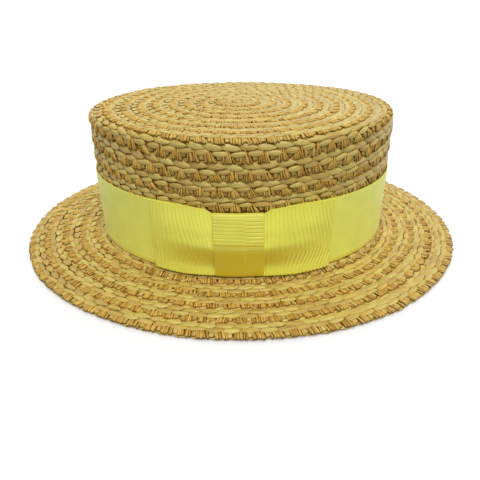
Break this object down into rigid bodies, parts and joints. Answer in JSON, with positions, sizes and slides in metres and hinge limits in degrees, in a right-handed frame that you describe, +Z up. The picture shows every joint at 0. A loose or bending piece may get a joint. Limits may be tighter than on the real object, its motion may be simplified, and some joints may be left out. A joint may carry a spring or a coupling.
{
  "type": "straw boater hat",
  "caption": "Straw boater hat: flat oval crown and flat round brim of sewn braid, with a wide ribbon band and a flat tailored bow.",
  "frame": {"origin": "on the surface that the brim rests on, under the middle of the head opening", "axes": "+Z up through the crown; X along the hat's length, with the wearer looking along -X; the bow faces -Y, the wearer's left"},
  "size_m": [0.306, 0.27, 0.09],
  "materials": {
    "straw": "natural golden straw braid, satin splints",
    "ribbon": "lemon yellow ribbed ribbon, soft sheen"
  },
  "bodies": {
    "root": {"crown_tip": "straw", "crown_side": "straw", "brim": "straw", "ribbon_band": "ribbon", "bow_loop_left": "ribbon", "bow_loop_right": "ribbon", "bow_knot": "ribbon"}
  },
  "joints": []
}
